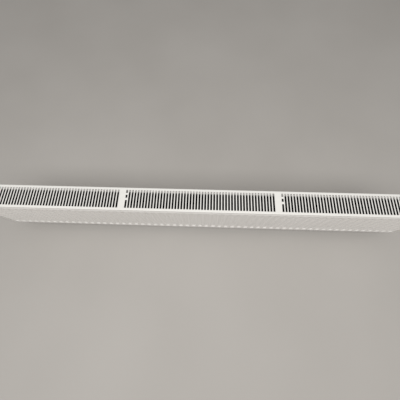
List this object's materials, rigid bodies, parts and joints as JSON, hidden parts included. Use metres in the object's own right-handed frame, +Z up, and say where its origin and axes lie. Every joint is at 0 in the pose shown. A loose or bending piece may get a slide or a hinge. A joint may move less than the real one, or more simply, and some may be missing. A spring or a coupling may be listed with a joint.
{
  "type": "baseboard heater",
  "caption": "Low wall-hung hot-water panel radiator: fluted front, slotted lift-off lid, side covers, convectors, built-in valve with handwheel, air vent, bottom pipe connections.",
  "frame": {"origin": "on the wall plane, at the middle bracket's rear face, at the heater's mid-length and mid-height", "axes": "+X along the heater to its right-hand end seen from the room, +Y into the wall, +Z up"},
  "size_m": [2.047, 0.14, 0.314],
  "materials": {
    "white_paint": "smooth white powder coat, slight orange peel",
    "primed_steel": "thin dark matt primer over sheet steel",
    "galvanised_steel": "zinc-coated sheet",
    "nickel_plate": "nickel-plated brass",
    "brass": "plain turned brass",
    "white_plastic": "moulded, lightly textured",
    "grey_plastic": "moulded, matt",
    "black_rubber": "moulded sealing rubber",
    "spring_steel": "bright spring steel"
  },
  "bodies": {
    "heater": {"front_water_panel": "white_paint", "rear_water_panel": "white_paint", "front_convector": "primed_steel", "rear_convector": "primed_steel", "top_left_tee": "white_paint", "bottom_left_tee": "white_paint", "bottom_right_tee": "white_paint", "supply_socket": "white_paint", "supply_riser": "white_paint", "supply_nipple": "nickel_plate", "return_nipple": "nickel_plate", "supply_nipple_seal": "black_rubber", "return_nipple_seal": "black_rubber", "right_blind_plug": "nickel_plate", "right_blind_plug_seal": "black_rubber", "left_blind_plug": "nickel_plate", "left_blind_plug_seal": "black_rubber", "vent_plug": "nickel_plate", "vent_plug_seal": "black_rubber", "valve_body": "white_paint", "valve_insert": "brass", "valve_insert_seal": "black_rubber", "handwheel_nut": "white_plastic", "upper_lug_left": "white_paint", "lower_lug_left": "white_paint", "wall_bracket_left": "galvanised_steel", "bracket_pad_left": "grey_plastic", "latch_spring_left": "spring_steel", "upper_lug_middle": "white_paint", "lower_lug_middle": "white_paint", "wall_bracket_middle": "galvanised_steel", "bracket_pad_middle": "grey_plastic", "latch_spring_middle": "spring_steel", "upper_lug_right": "white_paint", "lower_lug_right": "white_paint", "wall_bracket_right": "galvanised_steel", "bracket_pad_right": "grey_plastic", "latch_spring_right": "spring_steel"},
    "lid": {"top_grille": "white_paint", "grille_clip_left": "spring_steel", "grille_clip_middle": "spring_steel", "grille_clip_right": "spring_steel"},
    "right_cover": {"right_side_cover": "white_paint", "right_cover_front_clip_upper": "spring_steel", "right_cover_front_clip_lower": "spring_steel", "right_cover_rear_clip_upper": "spring_steel", "right_cover_rear_clip_lower": "spring_steel"},
    "left_cover": {"left_side_cover": "white_paint", "left_cover_front_clip_upper": "spring_steel", "left_cover_front_clip_lower": "spring_steel", "left_cover_rear_clip_upper": "spring_steel", "left_cover_rear_clip_lower": "spring_steel"},
    "bleed_screw": {"bleed_screw": "brass"},
    "vent_nozzle": {"vent_nozzle": "white_plastic"},
    "handwheel": {"handwheel": "white_plastic"},
    "valve_spindle": {"valve_spindle": "nickel_plate"},
    "latch_left": {"bracket_latch_left": "grey_plastic"},
    "latch_middle": {"bracket_latch_middle": "grey_plastic"},
    "latch_right": {"bracket_latch_right": "grey_plastic"}
  },
  "joints": [
    {"name": "lid_lift", "type": "slide", "parent": "heater", "child": "lid", "axis": [0, 0, 1], "range_m": [0, 0.06]},
    {"name": "right_cover_pull", "type": "slide", "parent": "heater", "child": "right_cover", "axis": [1, 0, 0], "range_m": [0, 0.055]},
    {"name": "left_cover_pull", "type": "slide", "parent": "heater", "child": "left_cover", "axis": [-1, 0, 0], "range_m": [0, 0.04]},
    {"name": "bleed_screw_turn", "type": "hinge", "parent": "heater", "child": "bleed_screw", "pos_m": [-0.968, -0.089, 0.123], "axis": [-1, 0, 0], "range_deg": [0, 360]},
    {"name": "vent_nozzle_swivel", "type": "hinge", "parent": "heater", "child": "vent_nozzle", "pos_m": [-0.968, -0.089, 0.123], "axis": [-1, 0, 0], "continuous": true},
    {"name": "handwheel_turn", "type": "hinge", "parent": "heater", "child": "handwheel", "pos_m": [0.968, -0.089, 0.123], "axis": [-1, 0, 0], "range_deg": [0, 300]},
    {"name": "valve_spindle_slide", "type": "slide", "parent": "heater", "child": "valve_spindle", "axis": [-1, 0, 0], "range_m": [0, 0.0025]},
    {"name": "latch_left_lift", "type": "slide", "parent": "heater", "child": "latch_left", "axis": [0, 0, 1], "range_m": [0, 0.014], "stiffness_N_per_m": 500, "springref_m": -0.01, "deforming": ["latch_spring_left"]},
    {"name": "latch_middle_lift", "type": "slide", "parent": "heater", "child": "latch_middle", "axis": [0, 0, 1], "range_m": [0, 0.014], "stiffness_N_per_m": 500, "springref_m": -0.01, "deforming": ["latch_spring_middle"]},
    {"name": "latch_right_lift", "type": "slide", "parent": "heater", "child": "latch_right", "axis": [0, 0, 1], "range_m": [0, 0.014], "stiffness_N_per_m": 500, "springref_m": -0.01, "deforming": ["latch_spring_right"]}
  ],
  "couplings": [
    {"joint": "valve_spindle_slide", "follows": "handwheel_turn", "m_per_rad": 0.000477}
  ]
}
